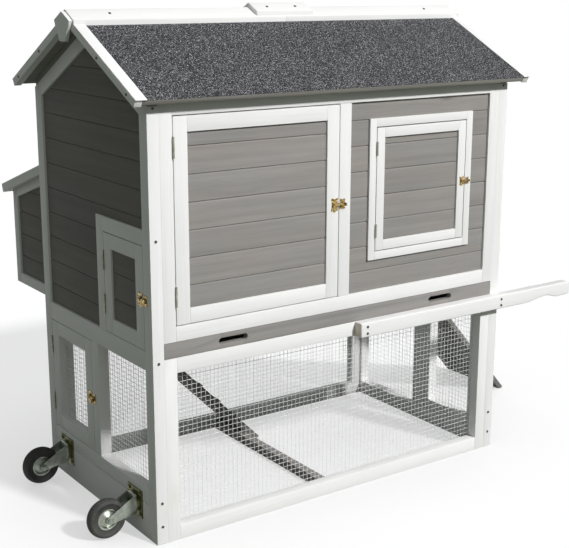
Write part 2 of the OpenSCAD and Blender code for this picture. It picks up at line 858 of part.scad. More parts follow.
// Back boards, cut out for the way into the nest box
module back_boards() {
    u0 = -rail_off - door_in + joint_gap;
    u1 = -nest_x1 - stile_w - joint_gap;
    u2 = -nest_x1 + joint_gap;
    u3 = -rail_off + door_in - joint_gap;
    v0 = door_z + joint_gap;
    v1 = head_z - joint_gap;
    way_v1 = nest_z + nest_h;
    color("gray")
        on_back() {
            board_wall(u0, u1, v0, v1)
                translate([u0, v0]) square([u1 - u0, v1 - v0]);
            board_wall(u2, u3, v0, v1)
                difference() {
                    translate([u2, v0]) square([u3 - u2, v1 - v0]);
                    translate([u2 + nest_frame, v0 - joint_gap])
                        square([u3 - u2 - 2 * nest_frame, way_v1 - v0 + joint_gap]);
                }
        }
}

// Net behind the back run frame
module back_run_mesh() {
    color("silver")
        on_back()
            net(-rail_off - door_in - net_lap, -rail_off + door_in + net_lap, run_rail - net_lap,
                run_h - run_rail + net_lap, net_w, long_pitch);
}

// Inside the house and the run

// Runners at both ends and a joist under the tray
module tray_runners() {
    y = end_in - joint_gap;
    color("burlywood") {
        box([xl + post_t + joint_gap, -y, run_h - runner_h], [xl + post_t + joint_gap + runner_w, y, run_h]);
        box([xr - post_t - joint_gap - runner_w, -y, run_h - runner_h],
            [xr - post_t - joint_gap, y, run_h]);
        box([joist_x1 - runner_w, yf + frame_t + joint_gap, run_h - runner_h],
            [joist_x1, yb - frame_t - joint_gap, run_h]);
    }
}

// Roosting bar from gable to gable
module perch() {
    half = perch_w / 2;
    ease = perch_h / 4;
    x0 = xl + board_recess + board_t + joint_gap;
    x1 = xr - board_recess - board_t - joint_gap;
    color("burlywood")
        along_x(x0, x1)
            translate([perch_y, house_z + perch_up])
                polygon([[-half, 0], [half, 0], [half, perch_h - ease], [half - ease, perch_h],
                         [ease - half, perch_h], [-half, perch_h - ease]]);
}

// A plank ramp that descends towards +X, bevelled flat at its foot, with treads across it
module ramp(x0, foot, pitch, y0, y1) {
    s = sin(pitch);
    c = cos(pitch);
    rise = (foot - x0) * tan(pitch);
    flat = ramp_t * 0.8;
    nose = ramp_t - flat * s;
    sink = 0.5;
    count = floor(rise / s / tread_pitch);
    translate([0, y1, 0])
        rotate([90, 0, 0]) {
            linear_extrude(y1 - y0)
                polygon([[x0, rise + ramp_t / c], [x0, rise], [foot, 0], [foot + flat, 0],
                         [foot + flat + nose * s, nose * c]]);
            for (i = [1 : count - 1])
                translate([foot + ramp_t * s, ramp_t * c, tread_in])
                    rotate([0, 0, -pitch])
                        translate([-i * tread_pitch, -sink, 0])
                            cube([tread_w, tread_h + sink, y1 - y0 - 2 * tread_in]);
        }
}

// Ramp from the house's floor down into the run
module inner_ramp() {
    color("dimgray") ramp(joist_x1 + joint_gap, ramp_foot, ramp_pitch, ramp_y0, ramp_y1);
}

// Ramp from the pop hole down to the grass outside
module outside_ramp() {
    color("dimgray")
        ramp(xr + joint_gap, step_foot, step_pitch, step_y, step_y + step_w);
}

// Rail on the ground across the middle of the run
module ground_rail() {
    y = body_d / 2 - frame_t - joint_gap;
    color("gray") box([-ground_rail / 2, -y, 0], [ground_rail / 2, y, ground_rail]);
}

// Roof

// Two boarded slopes on battens at the gables
module roof_deck() {
    color("#87806f")
        for (side = [-1, 1]) {
            roof_layer(side, roof_x0 + barge_t + joint_gap, roof_x1 - barge_t - joint_gap, joint_gap / 2,
                       half_roof, 0, deck_t, 1);
            for (x = [xl + (post_t - batten_w) / 2, xr - (post_t + batten_w) / 2])
                roof_layer(side, x, x + batten_w, joint_gap / 2, body_d / 2 - joint_gap, -batten_h,
                           -seat_gap);
        }
}

// Mineral felt on both slopes
module roof_felt() {
    color("#4e4e52")
        for (side = [-1, 1])
            roof_layer(side, roof_x0 + barge_t + joint_gap, roof_x1 - barge_t - joint_gap, joint_gap / 2,
                       half_roof, deck_t + seat_gap, felt_n, 1);
}

// Barge boards on the gables, each with a strip on top that laps the felt
module barge_boards() {
    nose = 2;
    color("white")
        for (side = [-1, 1]) {
            for (x = [roof_x0, roof_x1 - barge_t])
                roof_layer(side, x, x + barge_t, joint_gap / 2, half_roof, felt_n - barge_h, felt_n, 1);
            for (x = [[roof_x0, roof_x0 + flange_w], [roof_x1 - flange_right, roof_x1]])
                roof_layer(side, x[0], x[1], cap_y + joint_gap, half_roof + nose, felt_n + seat_gap,
                           felt_n + flange_t, 1);
        }
}

// Ridge boards in two lengths, with a short saddle over their joint
module ridge_boards() {
    color("white")
        for (side = [-1, 1]) {
            for (x = [[roof_x0, rail_off - joint_gap / 2], [rail_off + joint_gap / 2, roof_x1]])
                roof_layer(side, x[0], x[1], joint_gap / 2, cap_y, felt_n + seat_gap, felt_n + cap_t);
            roof_layer(side, rail_off - saddle_l / 2, rail_off + saddle_l / 2, joint_gap / 2,
                       saddle_w * cos_r, felt_n + cap_t + seat_gap, felt_n + cap_t + saddle_t);
        }
}

// Spearhead plates over the peaks of the barge boards
module finials() {
    top = roof_z(0, felt_n) + finial_up;
    half = finial_w / 2;
    outline = [[0, 0], [half, -finial_h * 0.3], [half * 0.82, -finial_h * 0.54],
               [half * 0.66, -finial_h * 0.64], [half * 0.38, -finial_h]];
    color("white")
        for (x = [roof_x0 - joint_gap - finial_t, roof_x1 + joint_gap])
            along_x(x, x + finial_t)
                translate([0, top])
                    polygon(concat(outline, [for (i = [len(outline) - 1 : -1 : 1])
                                             [-outline[i][0], outline[i][1]]]));
}

// A lifting handle: a bar on the run's top rail, with a waist and a round grip past the end
module handle() {
    u0 = xr - handle_in;
    u1 = xr + handle_out;
    r = handle_h * 0.36;
    v1 = run_h;
    v0 = run_h - handle_h;
    waist_u = xr + handle_out * 0.62;
    span = handle_out * 0.45;
    lift = 2;
    dip = [for (k = [-12 : 12])
           let (a = k / 12)
           [waist_u + a * span / 2 * (a > 0 ? 0.85 : 1.35), v0 + handle_waist * (1 + cos(180 * a)) / 2]];
    tip = [for (k = [0 : 8]) [u1 - r + r * sin(k * 11.25), v0 + lift + r - r * cos(k * 11.25)]];
    crown = [for (k = [0 : 8]) [u1 - r + r * cos(k * 11.25), v1 - r + r * sin(k * 11.25)]];
    linear_extrude(handle_t) polygon(concat([[u0, v0]], dip, tip, crown, [[u0, v1]]));
}

module handle_front() {
    color("white") on_front() handle();
}

module handle_back() {
    color("white") translate([0, yb + handle_t, 0]) rotate([90, 0, 0]) handle();
}

// Nest box

// Underside of the nest lid's board at the depth y
function lid_under(y) = lid_axis_z - (y - lid_axis_y) * lid_tan + lid_n0 / lid_cos;

// White frame of the nest box: two framed sides and a framed back
module nest_box_frame() {
    y0 = yb + joint_gap;
    y1 = nest_y1;
    f = nest_frame;
    top = joint_gap;
    color("white") {
        for (x = [nest_x0, nest_x1 - nest_t])
            along_x(x, x + nest_t) {
                polygon([[y0, nest_z], [y0 + f, nest_z], [y0 + f, lid_under(y0 + f) - top],
                         [y0, lid_under(y0) - top]]);
                polygon([[y1 - f, nest_z], [y1, nest_z], [y1, lid_under(y1) - top],
                         [y1 - f, lid_under(y1 - f) - top]]);
                translate([y0 + f + top, nest_z]) square([y1 - y0 - 2 * f - 2 * top, f]);
                polygon([[y0 + f + top, lid_under(y0 + f + top) - top],
                         [y1 - f - top, lid_under(y1 - f - top) - top],
                         [y1 - f - top, lid_under(y1 - f - top) - top - nest_top],
                         [y0 + f + top, lid_under(y0 + f + top) - top - nest_top]]);
            }
        for (z = [[nest_z, nest_z + f], [lid_under(y1) - top - nest_top, lid_under(y1) - top]])
            box([nest_x0 + nest_t + joint_gap, y1 - nest_t, z[0]],
                [nest_x1 - nest_t - joint_gap, y1, z[1]]);
    }
}

// Boards of the nest box: stacked sides and back, the floor and the divider between the nests
module nest_box_boards() {
    f = nest_frame;
    y0 = yb + 2 * joint_gap + f;
    y1 = nest_y1 - f - joint_gap;
    side_t = nest_t - nest_recess;
    z0 = nest_z + f + joint_gap;
    cut = nest_top + 2 * joint_gap;
    side_top = lid_under(y0) - cut;
    back_top = lid_under(nest_y1) - cut;
    mid = (nest_x0 + nest_x1) / 2;
    color("gray") {
        for (s = [-1, 1])
            translate([s < 0 ? nest_x0 : nest_x1, 0, 0])
                rotate([90, 0, s * 90])
                    board_wall(min(s * y0, s * y1), max(s * y0, s * y1), z0, side_top, -nest_recess, side_t)
                        polygon([[s * y0, z0], [s * y1, z0], [s * y1, lid_under(y1) - cut],
                                 [s * y0, side_top]]);
        translate([0, nest_y1, 0])
            rotate([90, 0, 180])
                board_stack(nest_t + joint_gap - nest_x1, -nest_x0 - nest_t - joint_gap, z0, back_top,
                            -nest_recess, side_t);
        box([nest_x0 + nest_t + joint_gap, yb + joint_gap, nest_z],
            [nest_x1 - nest_t - joint_gap, nest_y1 - nest_t - joint_gap, nest_z + board_t]);
        along_x(mid - board_t / 2, mid + board_t / 2)
            polygon([[yb + joint_gap, nest_z + board_t + joint_gap],
                     [nest_y1 - nest_t - joint_gap, nest_z + board_t + joint_gap],
                     [nest_y1 - nest_t - joint_gap, lid_under(nest_y1) - divider_drop],
                     [yb + joint_gap, lid_under(nest_y1) - divider_drop]]);
    }
}

// Turns the lid's own frame into place: s runs down the lid, n is square to it
module on_lid() {
    translate([0, lid_axis_y, lid_axis_z]) rotate([-lid_pitch, 0, 0]) children();
}

// Lid of the nest box: one board with a rim that hangs outside the walls
module nest_lid() {
    rim_n = lid_n0 - lid_rim;
    plumb = (lid_axis_y - yb - 2 * joint_gap) / lid_cos;
    s0 = -lid_n1 * lid_tan - plumb;
    s1 = -lid_n0 * lid_tan - plumb;
    color("white")
        on_lid() {
            along_x(lid_x0, lid_x1)
                polygon([[s0, lid_n1], [s1, lid_n0], [lid_s1, lid_n0], [lid_s1, lid_n1]]);
            for (x = [lid_x0, lid_x1 - rim_t])
                along_x(x, x + rim_t)
                    polygon([[s1, lid_n0 - seat_gap], [s1 + lid_rim * lid_tan, rim_n], [lid_s1, rim_n],
                             [lid_s1, lid_n0 - seat_gap]]);
            box([lid_x0 + rim_t + joint_gap, lid_s1 - rim_t, rim_n],
                [lid_x1 - rim_t - joint_gap, lid_s1, lid_n0 - seat_gap]);
        }
}

// Felt on the lid, clear of its hinge leaves
module nest_lid_felt() {
    color("#4e4e52")
        on_lid()
            box([lid_x0 + lid_felt_in, lid_leaf + joint_gap, lid_n1 + seat_gap],
                [lid_x1 - lid_felt_in, lid_s1 - lid_felt_in, lid_n1 + felt_t]);
}

module at_lid_hinges() {
    for (x = [nest_x0 + lid_hinge_in, nest_x1 - lid_hinge_in]) translate([x, 0, 0]) children();
}

// Lid hinge leaves: the middle knuckle and a leaf flat on the lid
module nest_lid_hinges() {
    third = hinge_l / 3;
    color("goldenrod")
        on_lid()
            at_lid_hinges()
                difference() {
                    union() {
                        along_x(joint_gap - third / 2, third / 2 - joint_gap) circle(knuckle_r);
                        box([joint_gap - third / 2, 0, lid_n1 + seat_gap],
                            [third / 2 - joint_gap, lid_leaf, lid_n1 + leaf_t]);
                        box([-hinge_l / 2, 2 * knuckle_r, lid_n1 + seat_gap],
                            [hinge_l / 2, lid_leaf, lid_n1 + leaf_t]);
                    }
                    along_x(-hinge_l, hinge_l) circle(pin_r + pin_fit);
                }
}

// Lid hinge leaves on the back wall, with their pins
module lid_wall_leaves() {
    third = hinge_l / 3;
    leaf_y = 2 * leaf_t - hinge_out;
    translate([0, lid_axis_y, lid_axis_z])
        at_lid_hinges() {
            along_x(-hinge_l / 2, hinge_l / 2) circle(pin_r);
            for (x = [-hinge_l / 2, hinge_l / 6]) {
                along_x(x, x + third) circle(knuckle_r);
                box([x, -hinge_out, 0], [x + third, leaf_y, wall_leaf]);
            }
            box([-hinge_l / 2, -hinge_out, knuckle_r + 2 * joint_gap], [hinge_l / 2, leaf_y, wall_leaf]);
        }
}

// Fixed hardware

// Pan head of a screw
module screw_head() {
    translate([0, 0, seat_gap]) cylinder(h = screw_t, r = screw_r);
}

// Screws that hold the posts, the front handle, the ridge and the barge boards
module frame_screws() {
    u = front_in + post_t / 2;
    low = [screw_z, screw_z + screw_pitch];
    high = [house_z + house_h * 0.43, head_z + head_h * 0.42];
    screw_y = saddle_w * cos_r / 2;
    barge_n = felt_n - barge_h / 2;
    color("dimgray") {
        on_front() {
            for (v = concat(low, high[1]), s = [-1, 1])
                translate([rail_off + s * u, v, 0]) screw_head();
            for (v = [mid_z + mid_h / 2, high[0]]) translate([rail_off - u, v, 0]) screw_head();
            for (x = [xr - handle_in + handle_screw_in, xr - post_t * 0.4], v = [0.28, 0.74])
                translate([x, run_h - handle_h * v, handle_t]) screw_head();
        }
        on_back()
            for (v = concat(low, high), s = [-1, 1]) translate([s * u - rail_off, v, 0]) screw_head();
        for (x = [xl + ridge_screw_in, xr - ridge_screw_in])
            translate([x, -screw_y, roof_z(screw_y, felt_n + cap_t)])
                rotate([roof_pitch, 0, 0]) screw_head();
        for (s = [-1, 1])
            translate([rail_off + s * saddle_l / 4, -screw_y, roof_z(screw_y, felt_n + cap_t + saddle_t)])
                rotate([roof_pitch, 0, 0]) screw_head();
        for (end = [[roof_x0, -90], [roof_x1, 90]], s = [-1, 1], y = [half_roof * 0.48, half_roof * 0.9])
            translate([end[0], s * y, roof_z(y, barge_n)]) rotate([0, end[1], 0]) screw_head();
    }
}

// Hinge leaves and pins on the frames
module frame_hinge_leaves() {
    color("goldenrod") {
        on_front() {
            at_hinges(front_hinge) fixed_leaf(front_hinge[3]);
            at_hinges(window_hinge) fixed_leaf(window_hinge[3]);
        }
        on_left() {
            at_hinges(house_hinge) fixed_leaf(house_hinge[3]);
            at_hinges(run_hinge) fixed_leaf(run_hinge[3]);
        }
        lid_wall_leaves();
    }
}

// Latch keepers on the frames
module latch_keepers() {
    color("goldenrod") {
        on_front() {
            at_latch(front_latch) latch_keeper();
            at_latch(window_latch) latch_keeper(window_latch_size);
        }
        on_left() {
            at_latch(house_latch) latch_keeper();
            at_latch(run_latch) latch_keeper();
        }
    }
}

// Doors

// Boards in a door's frame
module door_panel(u0, u1, v0, v1, wide) {
    board_stack(u0 + wide + joint_gap, u1 - wide - joint_gap, v0 + wide + joint_gap, v1 - wide - joint_gap,
                -panel_recess, panel_t);
}

// Big front door
module front_door_frame() {
    d = front_door;
    color("white") on_front() butt_frame(d[0], d[1], d[2], d[3], door_rail, door_t);
}

module front_door_boards() {
    d = front_door;
    color("gray") on_front() door_panel(d[0], d[1], d[2], d[3], door_rail);
}

module front_door_hardware() {
    color("goldenrod")
        on_front() {
            at_hinges(front_hinge) moving_leaf(front_hinge[3]);
            at_latch(front_latch) latch_plate();
        }
}

module front_door_lever() {
    color("goldenrod") on_front() at_latch(front_latch) latch_lever();
}

// Window door
module window_door_frame() {
    d = window_door;
    color("white") on_front() butt_frame(d[0], d[1], d[2], d[3], window_rail, door_t);
}

module window_door_boards() {
    d = window_door;
    color("gray") on_front() door_panel(d[0], d[1], d[2], d[3], window_rail);
}

module window_door_hardware() {
    color("goldenrod")
        on_front() {
            at_hinges(window_hinge) moving_leaf(window_hinge[3]);
            at_latch(window_latch) latch_plate(window_latch_size);
        }
}

module window_door_lever() {
    color("goldenrod") on_front() at_latch(window_latch) latch_lever(window_latch_size);
}

// House door in the left gable
module house_door_frame() {
    d = house_door;
    color("white") on_left() butt_frame(d[0], d[1], d[2], d[3], door_rail, door_t);
}

module house_door_boards() {
    d = house_door;
    color("gray") on_left() door_panel(d[0], d[1], d[2], d[3], door_rail);
}

module house_door_hardware() {
    color("goldenrod")
        on_left() {
            at_hinges(house_hinge) moving_leaf(house_hinge[3]);
            at_latch(house_latch) latch_plate();
        }
}

module house_door_lever() {
    color("goldenrod") on_left() at_latch(house_latch) latch_lever();
}

// Meshed run door in the left end
module run_door_frame() {
    d = run_door;
    color("white") on_left() butt_frame(d[0], d[1], d[2], d[3], door_rail, door_t);
}

module run_door_mesh() {
    d = run_door;
    color("silver")
        on_left()
            net(d[0] + door_rail - net_lap, d[1] - door_rail + net_lap, d[2] + door_rail - net_lap,
                d[3] - door_rail + net_lap, -door_t, end_pitch);
}

module run_door_hardware() {
    color("goldenrod")
        on_left() {
            at_hinges(run_hinge) moving_leaf(run_hinge[3]);
            at_latch(run_latch) latch_plate();
        }
}

module run_door_lever() {
    color("goldenrod") on_left() at_latch(run_latch) latch_lever();
}

// Droppings tray

// Front board of the tray, jointed at the ends of its two hand slots
module tray_front() {
    u = front_in - tray_gap;
    v = (tray_z0 + tray_z1) / 2;
    straight = slot_l - slot_h;
    color("gray")
        on_front()
            translate([rail_off, 0, -tray_front_t])
                linear_extrude(tray_front_t)
                    difference() {
                        translate([-u, tray_z0]) square([2 * u, tray_z1 - tray_z0]);
                        for (s = [-1, 1])
                            translate([s * slot_x, v]) {
                                square([straight, slot_h], center = true);
                                for (e = [-1, 1])
                                    translate([e * straight / 2, 0]) {
                                        circle(d = slot_h);
                                        square([joint_gap, 2 * tray_slot], center = true);
                                    }
                            }
                    }
}

// Outline of the tray's pan, notched at the back over the inner ramp
module pan_outline(d) {
    polygon([[rail_off - pan_x + d, pan_y0 + d], [rail_off + pan_x - d, pan_y0 + d],
             [rail_off + pan_x - d, pan_y1 - d], [notch_x1 + d, pan_y1 - d], [notch_x1 + d, notch_y - d],
             [joist_x1 - d, notch_y - d], [joist_x1 - d, pan_y1 - d], [rail_off - pan_x + d, pan_y1 - d]]);
}

// Galvanised pan of the tray, with a low lip behind the front board's hand slots
module tray_pan() {
    lip = (tray_z1 - tray_z0 - slot_h) / 2 - 2 * sheet;
    color("silver")
        translate([0, 0, tray_z0])
            difference() {
                union() {
                    linear_extrude(sheet) pan_outline(0);
                    linear_extrude(rim_h)
                        difference() {
                            pan_outline(0);
                            pan_outline(sheet);
                        }
                }
                box([rail_off - pan_x + sheet, pan_y0 - sheet, lip],
                    [rail_off + pan_x - sheet, pan_y0 + 2 * sheet, rim_h + sheet]);
            }
}

// Hatch

// Sliding hatch over the pop hole, with a pull on its face
module pop_hatch() {
    u = (hole_u0 + hole_u1) / 2;
    half = hole_w / 2 + hatch_lap;
    v0 = mid_top + joint_gap;
    v1 = hole_z + hole_h + hatch_lap;
    w0 = joint_gap - board_recess;
    w1 = w0 + hatch_t;
    pull = hole_w * 0.2;
    color("gray")
        on_right() {
            box([u - half, v0, w0], [u + half, v1, w1]);
            box([u - pull, v1 - 1.1 * pull, w1 - seat_gap], [u + pull, v1 - 0.4 * pull, w1 + hatch_t]);
        }
}

// Castors

// A castor's own frame: z points from the wheel to the plate, x is down in use
module on_castor(side) {
    translate([xl, side * castor_y, castor_z]) rotate([0, 90, 0]) children();
}

// Plates with their ball races, king pins and bolts
module castor_plates() {
    h = plate_w / 2;
    bolt_r = 5.6;
    b = h - 1.6 * bolt_r;
    head_t = 3;
    color("silver")
        for (side = [-1, 1])
            on_castor(side) {
                translate([-h, -h, -plate_t]) cube([plate_w, plate_w, plate_t]);
                translate([0, 0, fork_z]) cylinder(h = race_t, r = race_r);
                translate([0, 0, fork_z - king_l]) cylinder(h = king_l + seat_gap, r = king_r);
                translate([0, 0, fork_z - king_l]) cylinder(h = head_t, r = king_r * 5 / 3);
                for (x = [-b, b], y = [-b, b])
                    translate([x, y, -plate_t - head_t]) cylinder(h = head_t + seat_gap, r = bolt_r, $fn = 6);
            }
}

// Angle at which a line from the point a touches a circle, on the side s
function touch_angle(a, centre, r, s) =
    atan2(a[1] - centre[1], a[0] - centre[0]) + s * acos(r / norm(a - centre));

// A fork: swivel head and two tapered legs, with the axle bolt and its nuts
module castor_fork(side) {
    head_t = 4;
    z1 = fork_z - joint_gap;
    axle = [trail, -axle_out];
    top = [-fork_w / 2, z1];
    low = [fork_w / 2, z1];
    a0 = touch_angle(low, axle, fork_boss, -1);
    a1 = touch_angle(top, axle, fork_boss, 1) - 360;
    steps = 16;
    color("silver")
        on_castor(side) {
            difference() {
                union() {
                    translate([0, 0, z1 - head_t]) cylinder(h = head_t, r = race_r * 1.08);
                    translate([-fork_w / 2, -fork_gap / 2 - fork_t, z1 - head_t])
                        cube([fork_w, fork_gap + 2 * fork_t, head_t]);
                    for (y = [-fork_gap / 2, fork_gap / 2 + fork_t])
                        translate([0, y, 0])
                            rotate([90, 0, 0])
                                linear_extrude(fork_t)
                                    polygon(concat([top, low],
                                                   [for (k = [0 : steps])
                                                    let (a = a0 + (a1 - a0) * k / steps)
                                                    axle + fork_boss * [cos(a), sin(a)]]));
                }
                translate([0, 0, z1 - 2 * head_t]) cylinder(h = 3 * head_t, r = king_r + pin_fit);
            }
            translate([trail, 0, -axle_out])
                rotate([90, 0, 0]) {
                    cylinder(h = fork_gap + 2 * fork_t + 3 * axle_r, r = axle_r, center = true);
                    for (s = [-1, 1])
                        translate([0, 0, s * (fork_gap + 2 * fork_t + axle_r) / 2])
                            cylinder(h = axle_r, r = 1.6 * axle_r, $fn = 6, center = true);
                }
        }
}

module castor_fork_front() {
    castor_fork(-1);
}

module castor_fork_rear() {
    castor_fork(1);
}

// Places what turns on a castor's axle: the axle lies along z
module on_axle(side) {
    on_castor(side) translate([trail, 0, -axle_out]) rotate([90, 0, 0]) children();
}

// Pressed steel wheel: a dished disc on a hub
module castor_wheel(side) {
    hub = fork_gap / 2 - 2 * joint_gap;
    boss = 2 * axle_r;
    dish = 4;
    rim = tyre_w / 2 - dish * 0.75;
    half = [[axle_r + pin_fit, hub], [boss, hub], [boss, hub - dish], [hub_r - 1.5 * dish, rim - dish],
            [hub_r - dish, rim], [hub_r, rim]];
    color("silver")
        on_axle(side)
            rotate_extrude()
                polygon(concat(half, [for (i = [len(half) - 1 : -1 : 0]) [half[i][0], -half[i][1]]]));
}

// Rubber tyre: recessed side walls and a rounded tread
module castor_tyre(side) {
    b = tyre_w / 2;
    groove = 2;
    wall = b - groove;
    step = hub_r + tyre_h * 0.52;
    edge = step + groove * 0.75;
    shoulder = tyre_h * 0.36;
    color("dimgray")
        on_axle(side)
            rotate_extrude()
                polygon(concat([[hub_r, -wall], [step, -wall], [edge, -b]],
                               [for (k = [-6 : 6])
                                let (a = k * 15)
                                [wheel_r - shoulder * (1 - cos(a)), b * sin(a)]],
                               [[edge, b], [step, wall], [hub_r, wall]]));
}

module castor_wheel_front() {
    castor_wheel(-1);
}

module castor_wheel_rear() {
    castor_wheel(1);
}

module castor_tyre_front() {
    castor_tyre(-1);
}

module castor_tyre_rear() {
    castor_tyre(1);
}

corner_posts();
left_end_frame();
left_gable_boards();
left_run_mesh();
right_end_frame();
right_gable_boards();
right_run_mesh();
door_trims();
front_frame();
front_boards();
front_run_mesh();
back_frame();
back_boards();
back_run_mesh();
tray_runners();
perch();
inner_ramp();
outside_ramp();
ground_rail();
roof_deck();
roof_felt();
barge_boards();
ridge_boards();
finials();
handle_front();
handle_back();
nest_box_frame();
nest_box_boards();
frame_screws();
frame_hinge_leaves();
latch_keepers();
castor_plates();
front_door_frame();
front_door_boards();
front_door_hardware();
front_door_lever();
window_door_frame();
window_door_boards();
window_door_hardware();
window_door_lever();
house_door_frame();
house_door_boards();
house_door_hardware();
house_door_lever();
run_door_frame();
run_door_mesh();
run_door_hardware();
run_door_lever();
tray_front();
tray_pan();
nest_lid();
nest_lid_felt();
nest_lid_hinges();
pop_hatch();
castor_fork_front();
castor_fork_rear();
castor_wheel_front();
castor_tyre_front();
castor_wheel_rear();
castor_tyre_rear();
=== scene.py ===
import json
from math import cos, pi, radians, sin

import bmesh
import bpy
import numpy as np
from mathutils import Matrix, Vector

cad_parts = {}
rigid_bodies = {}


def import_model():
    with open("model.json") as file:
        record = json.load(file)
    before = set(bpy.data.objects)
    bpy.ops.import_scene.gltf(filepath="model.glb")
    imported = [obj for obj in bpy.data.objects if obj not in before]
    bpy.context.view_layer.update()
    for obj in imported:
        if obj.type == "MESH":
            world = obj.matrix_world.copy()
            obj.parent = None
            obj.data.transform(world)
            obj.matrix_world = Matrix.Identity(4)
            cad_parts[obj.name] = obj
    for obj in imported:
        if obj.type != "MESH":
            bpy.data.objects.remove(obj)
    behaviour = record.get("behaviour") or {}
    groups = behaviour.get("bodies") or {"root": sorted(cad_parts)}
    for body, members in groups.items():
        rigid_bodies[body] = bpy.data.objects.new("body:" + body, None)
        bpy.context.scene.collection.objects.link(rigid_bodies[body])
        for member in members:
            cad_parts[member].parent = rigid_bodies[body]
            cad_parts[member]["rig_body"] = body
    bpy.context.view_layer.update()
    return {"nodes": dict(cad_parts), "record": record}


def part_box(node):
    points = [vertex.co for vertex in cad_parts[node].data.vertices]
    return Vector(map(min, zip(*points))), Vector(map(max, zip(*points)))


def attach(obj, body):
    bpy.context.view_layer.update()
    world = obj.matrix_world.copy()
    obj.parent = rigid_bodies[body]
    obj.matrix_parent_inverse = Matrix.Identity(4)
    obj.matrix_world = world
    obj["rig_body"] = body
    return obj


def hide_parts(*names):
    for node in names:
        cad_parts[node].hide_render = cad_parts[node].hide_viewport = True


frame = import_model()
scene = bpy.context.scene
scene.view_settings.view_transform = "Standard"


# Camera off the coop's near left corner, a little over the eaves, looking slightly down.
# Its lens and its turn, tilt and roll are those of the photograph's perspective.
camera_data = bpy.data.cameras.new("camera")
camera_data.sensor_width = 36
camera_data.lens = 73.47
camera = bpy.data.objects.new("camera", camera_data)
scene.collection.objects.link(camera)
camera_place = (-1.7273, -2.5452, 1.3044)
camera_turn, camera_tilt, camera_roll = radians(-35.0), radians(90 - 14.08), radians(0.14)
camera.matrix_world = (
    Matrix.Translation(camera_place)
    @ Matrix.Rotation(camera_turn, 4, "Z")
    @ Matrix.Rotation(camera_tilt, 4, "X")
    @ Matrix.Rotation(camera_roll, 4, "Z")
)
scene.camera = camera


# Studio floor: one wide pale sheet that fills the picture and takes the coop's soft shadow.
# It glows white to the eye, with painted shade where the coop covers it, and sends back as little light as
# grass.
def node(tree, kind, inputs=None, **settings):
    """Adds a shader node, sets it up, and links or sets each named or numbered input."""
    made = tree.nodes.new("ShaderNode" + kind)
    for name, value in settings.items():
        setattr(made, name, value)
    for name, value in (inputs or {}).items():
        if isinstance(value, bpy.types.NodeSocket):
            tree.links.new(value, made.inputs[name])
        else:
            made.inputs[name].default_value = value
    return made


def ramp(tree, fac, *stops):
    """A colour ramp through (position, colour) stops."""
    made = node(tree, "ValToRGB", {"Fac": fac})
    marks = made.color_ramp.elements
    while len(marks) < len(stops):
        marks.new(0.5)
    for mark, (place, colour) in zip(marks, stops):
        mark.position = place
        mark.color = (*colour, 1) if isinstance(colour, tuple) else (colour, colour, colour, 1)
    return made.outputs["Color"]


def finish(name):
    """A new material: its node tree and its main shader."""
    made = bpy.data.materials.new(name)
    made.use_nodes = True
    return made, made.node_tree, made.node_tree.nodes["Principled BSDF"]


def mixed(tree, fac, a, b, how="MIX"):
    """Two colours mixed; 6 and 7 are the colour inputs of the mix node."""
    return node(tree, "Mix", {0: fac, 6: a, 7: b}, data_type="RGBA", blend_type=how).outputs[2]


def sum_of(tree, how, a, b):
    return node(tree, "Math", {0: a, 1: b}, operation=how).outputs[0]


floor_finish, tree, shader = finish("studio_floor")
path = node(tree, "LightPath").outputs
seen = sum_of(tree, "ADD", path["Is Glossy Ray"], path["Is Transmission Ray"])
seen = sum_of(tree, "ADD", path["Is Camera Ray"], seen)
cover_reach = 0.6
covered_glow, open_glow = 0.53, 0.71
grass_tint, sheet_tint = (0.125, 0.14, 0.11, 1), (0.32, 0.32, 0.32, 1)
# Painted shade: the floor's glow drops where the coop covers it from above.
open_share = node(tree, "AmbientOcclusion", {"Distance": cover_reach}).outputs["AO"]
glow = ramp(tree, open_share, (0.3, covered_glow), (1.0, open_glow))
tree.links.new(mixed(tree, seen, grass_tint, sheet_tint), shader.inputs["Base Color"])
tree.links.new(sum_of(tree, "MULTIPLY", seen, glow), shader.inputs["Emission Strength"])
shader.inputs["Emission Color"].default_value = (1, 1, 1, 1)
shader.inputs["Roughness"].default_value = 0.9
shader.inputs["Specular IOR Level"].default_value = 0.0
floor_half = 150.0
floor_mesh = bpy.data.meshes.new("floor")
corners = [(x * floor_half, y * floor_half, 0) for x, y in ((-1, -1), (1, -1), (1, 1), (-1, 1))]
floor_mesh.from_pydata(corners, [], [(0, 1, 2, 3)])
floor_mesh.materials.append(floor_finish)
studio_floor = bpy.data.objects.new("studio_floor", floor_mesh)
scene.collection.objects.link(studio_floor)


# Studio light: one soft sun from the front right, low enough to reach under the eaves, and a sky that
# is brighter on the sun's side and dims towards the ground. The castor end lies in soft, leafy shade.
sun = bpy.data.lights.new("sun", "SUN")
sun.energy = 3.42
sun.angle = radians(5)
sun_side = Vector((0.24, -0.74, 0.61))
sun_lamp = bpy.data.objects.new("sun", sun)
sun_lamp.rotation_euler = sun_side.to_track_quat("Z", "Y").to_euler()
scene.collection.objects.link(sun_lamp)
world = bpy.data.worlds.new("studio")
scene.world = world
world.use_nodes = True
tree = world.node_tree
outward = node(tree, "TexCoord").outputs["Generated"]
height = node(tree, "SeparateXYZ", {"Vector": outward}).outputs["Z"]
sky = ramp(
    tree,
    height,
    (0.0, (0.07, 0.078, 0.07)),
    (0.2, (0.19, 0.2, 0.195)),
    (0.45, (0.335, 0.345, 0.34)),
    (1.0, (0.18, 0.185, 0.19)),
)
bright_side = (0.3, -0.95, 0)
least, most = 0.75, 1.25
sunward = node(tree, "VectorMath", {0: outward, 1: bright_side}, operation="DOT_PRODUCT").outputs["Value"]
spread = {"Value": sunward, "From Min": -1.0, "To Min": least, "To Max": most}
side = node(tree, "MapRange", spread).outputs["Result"]
leafy = ramp(tree, side, (least, (0.88, 1.0, 0.92)), (1.0, 1.0))
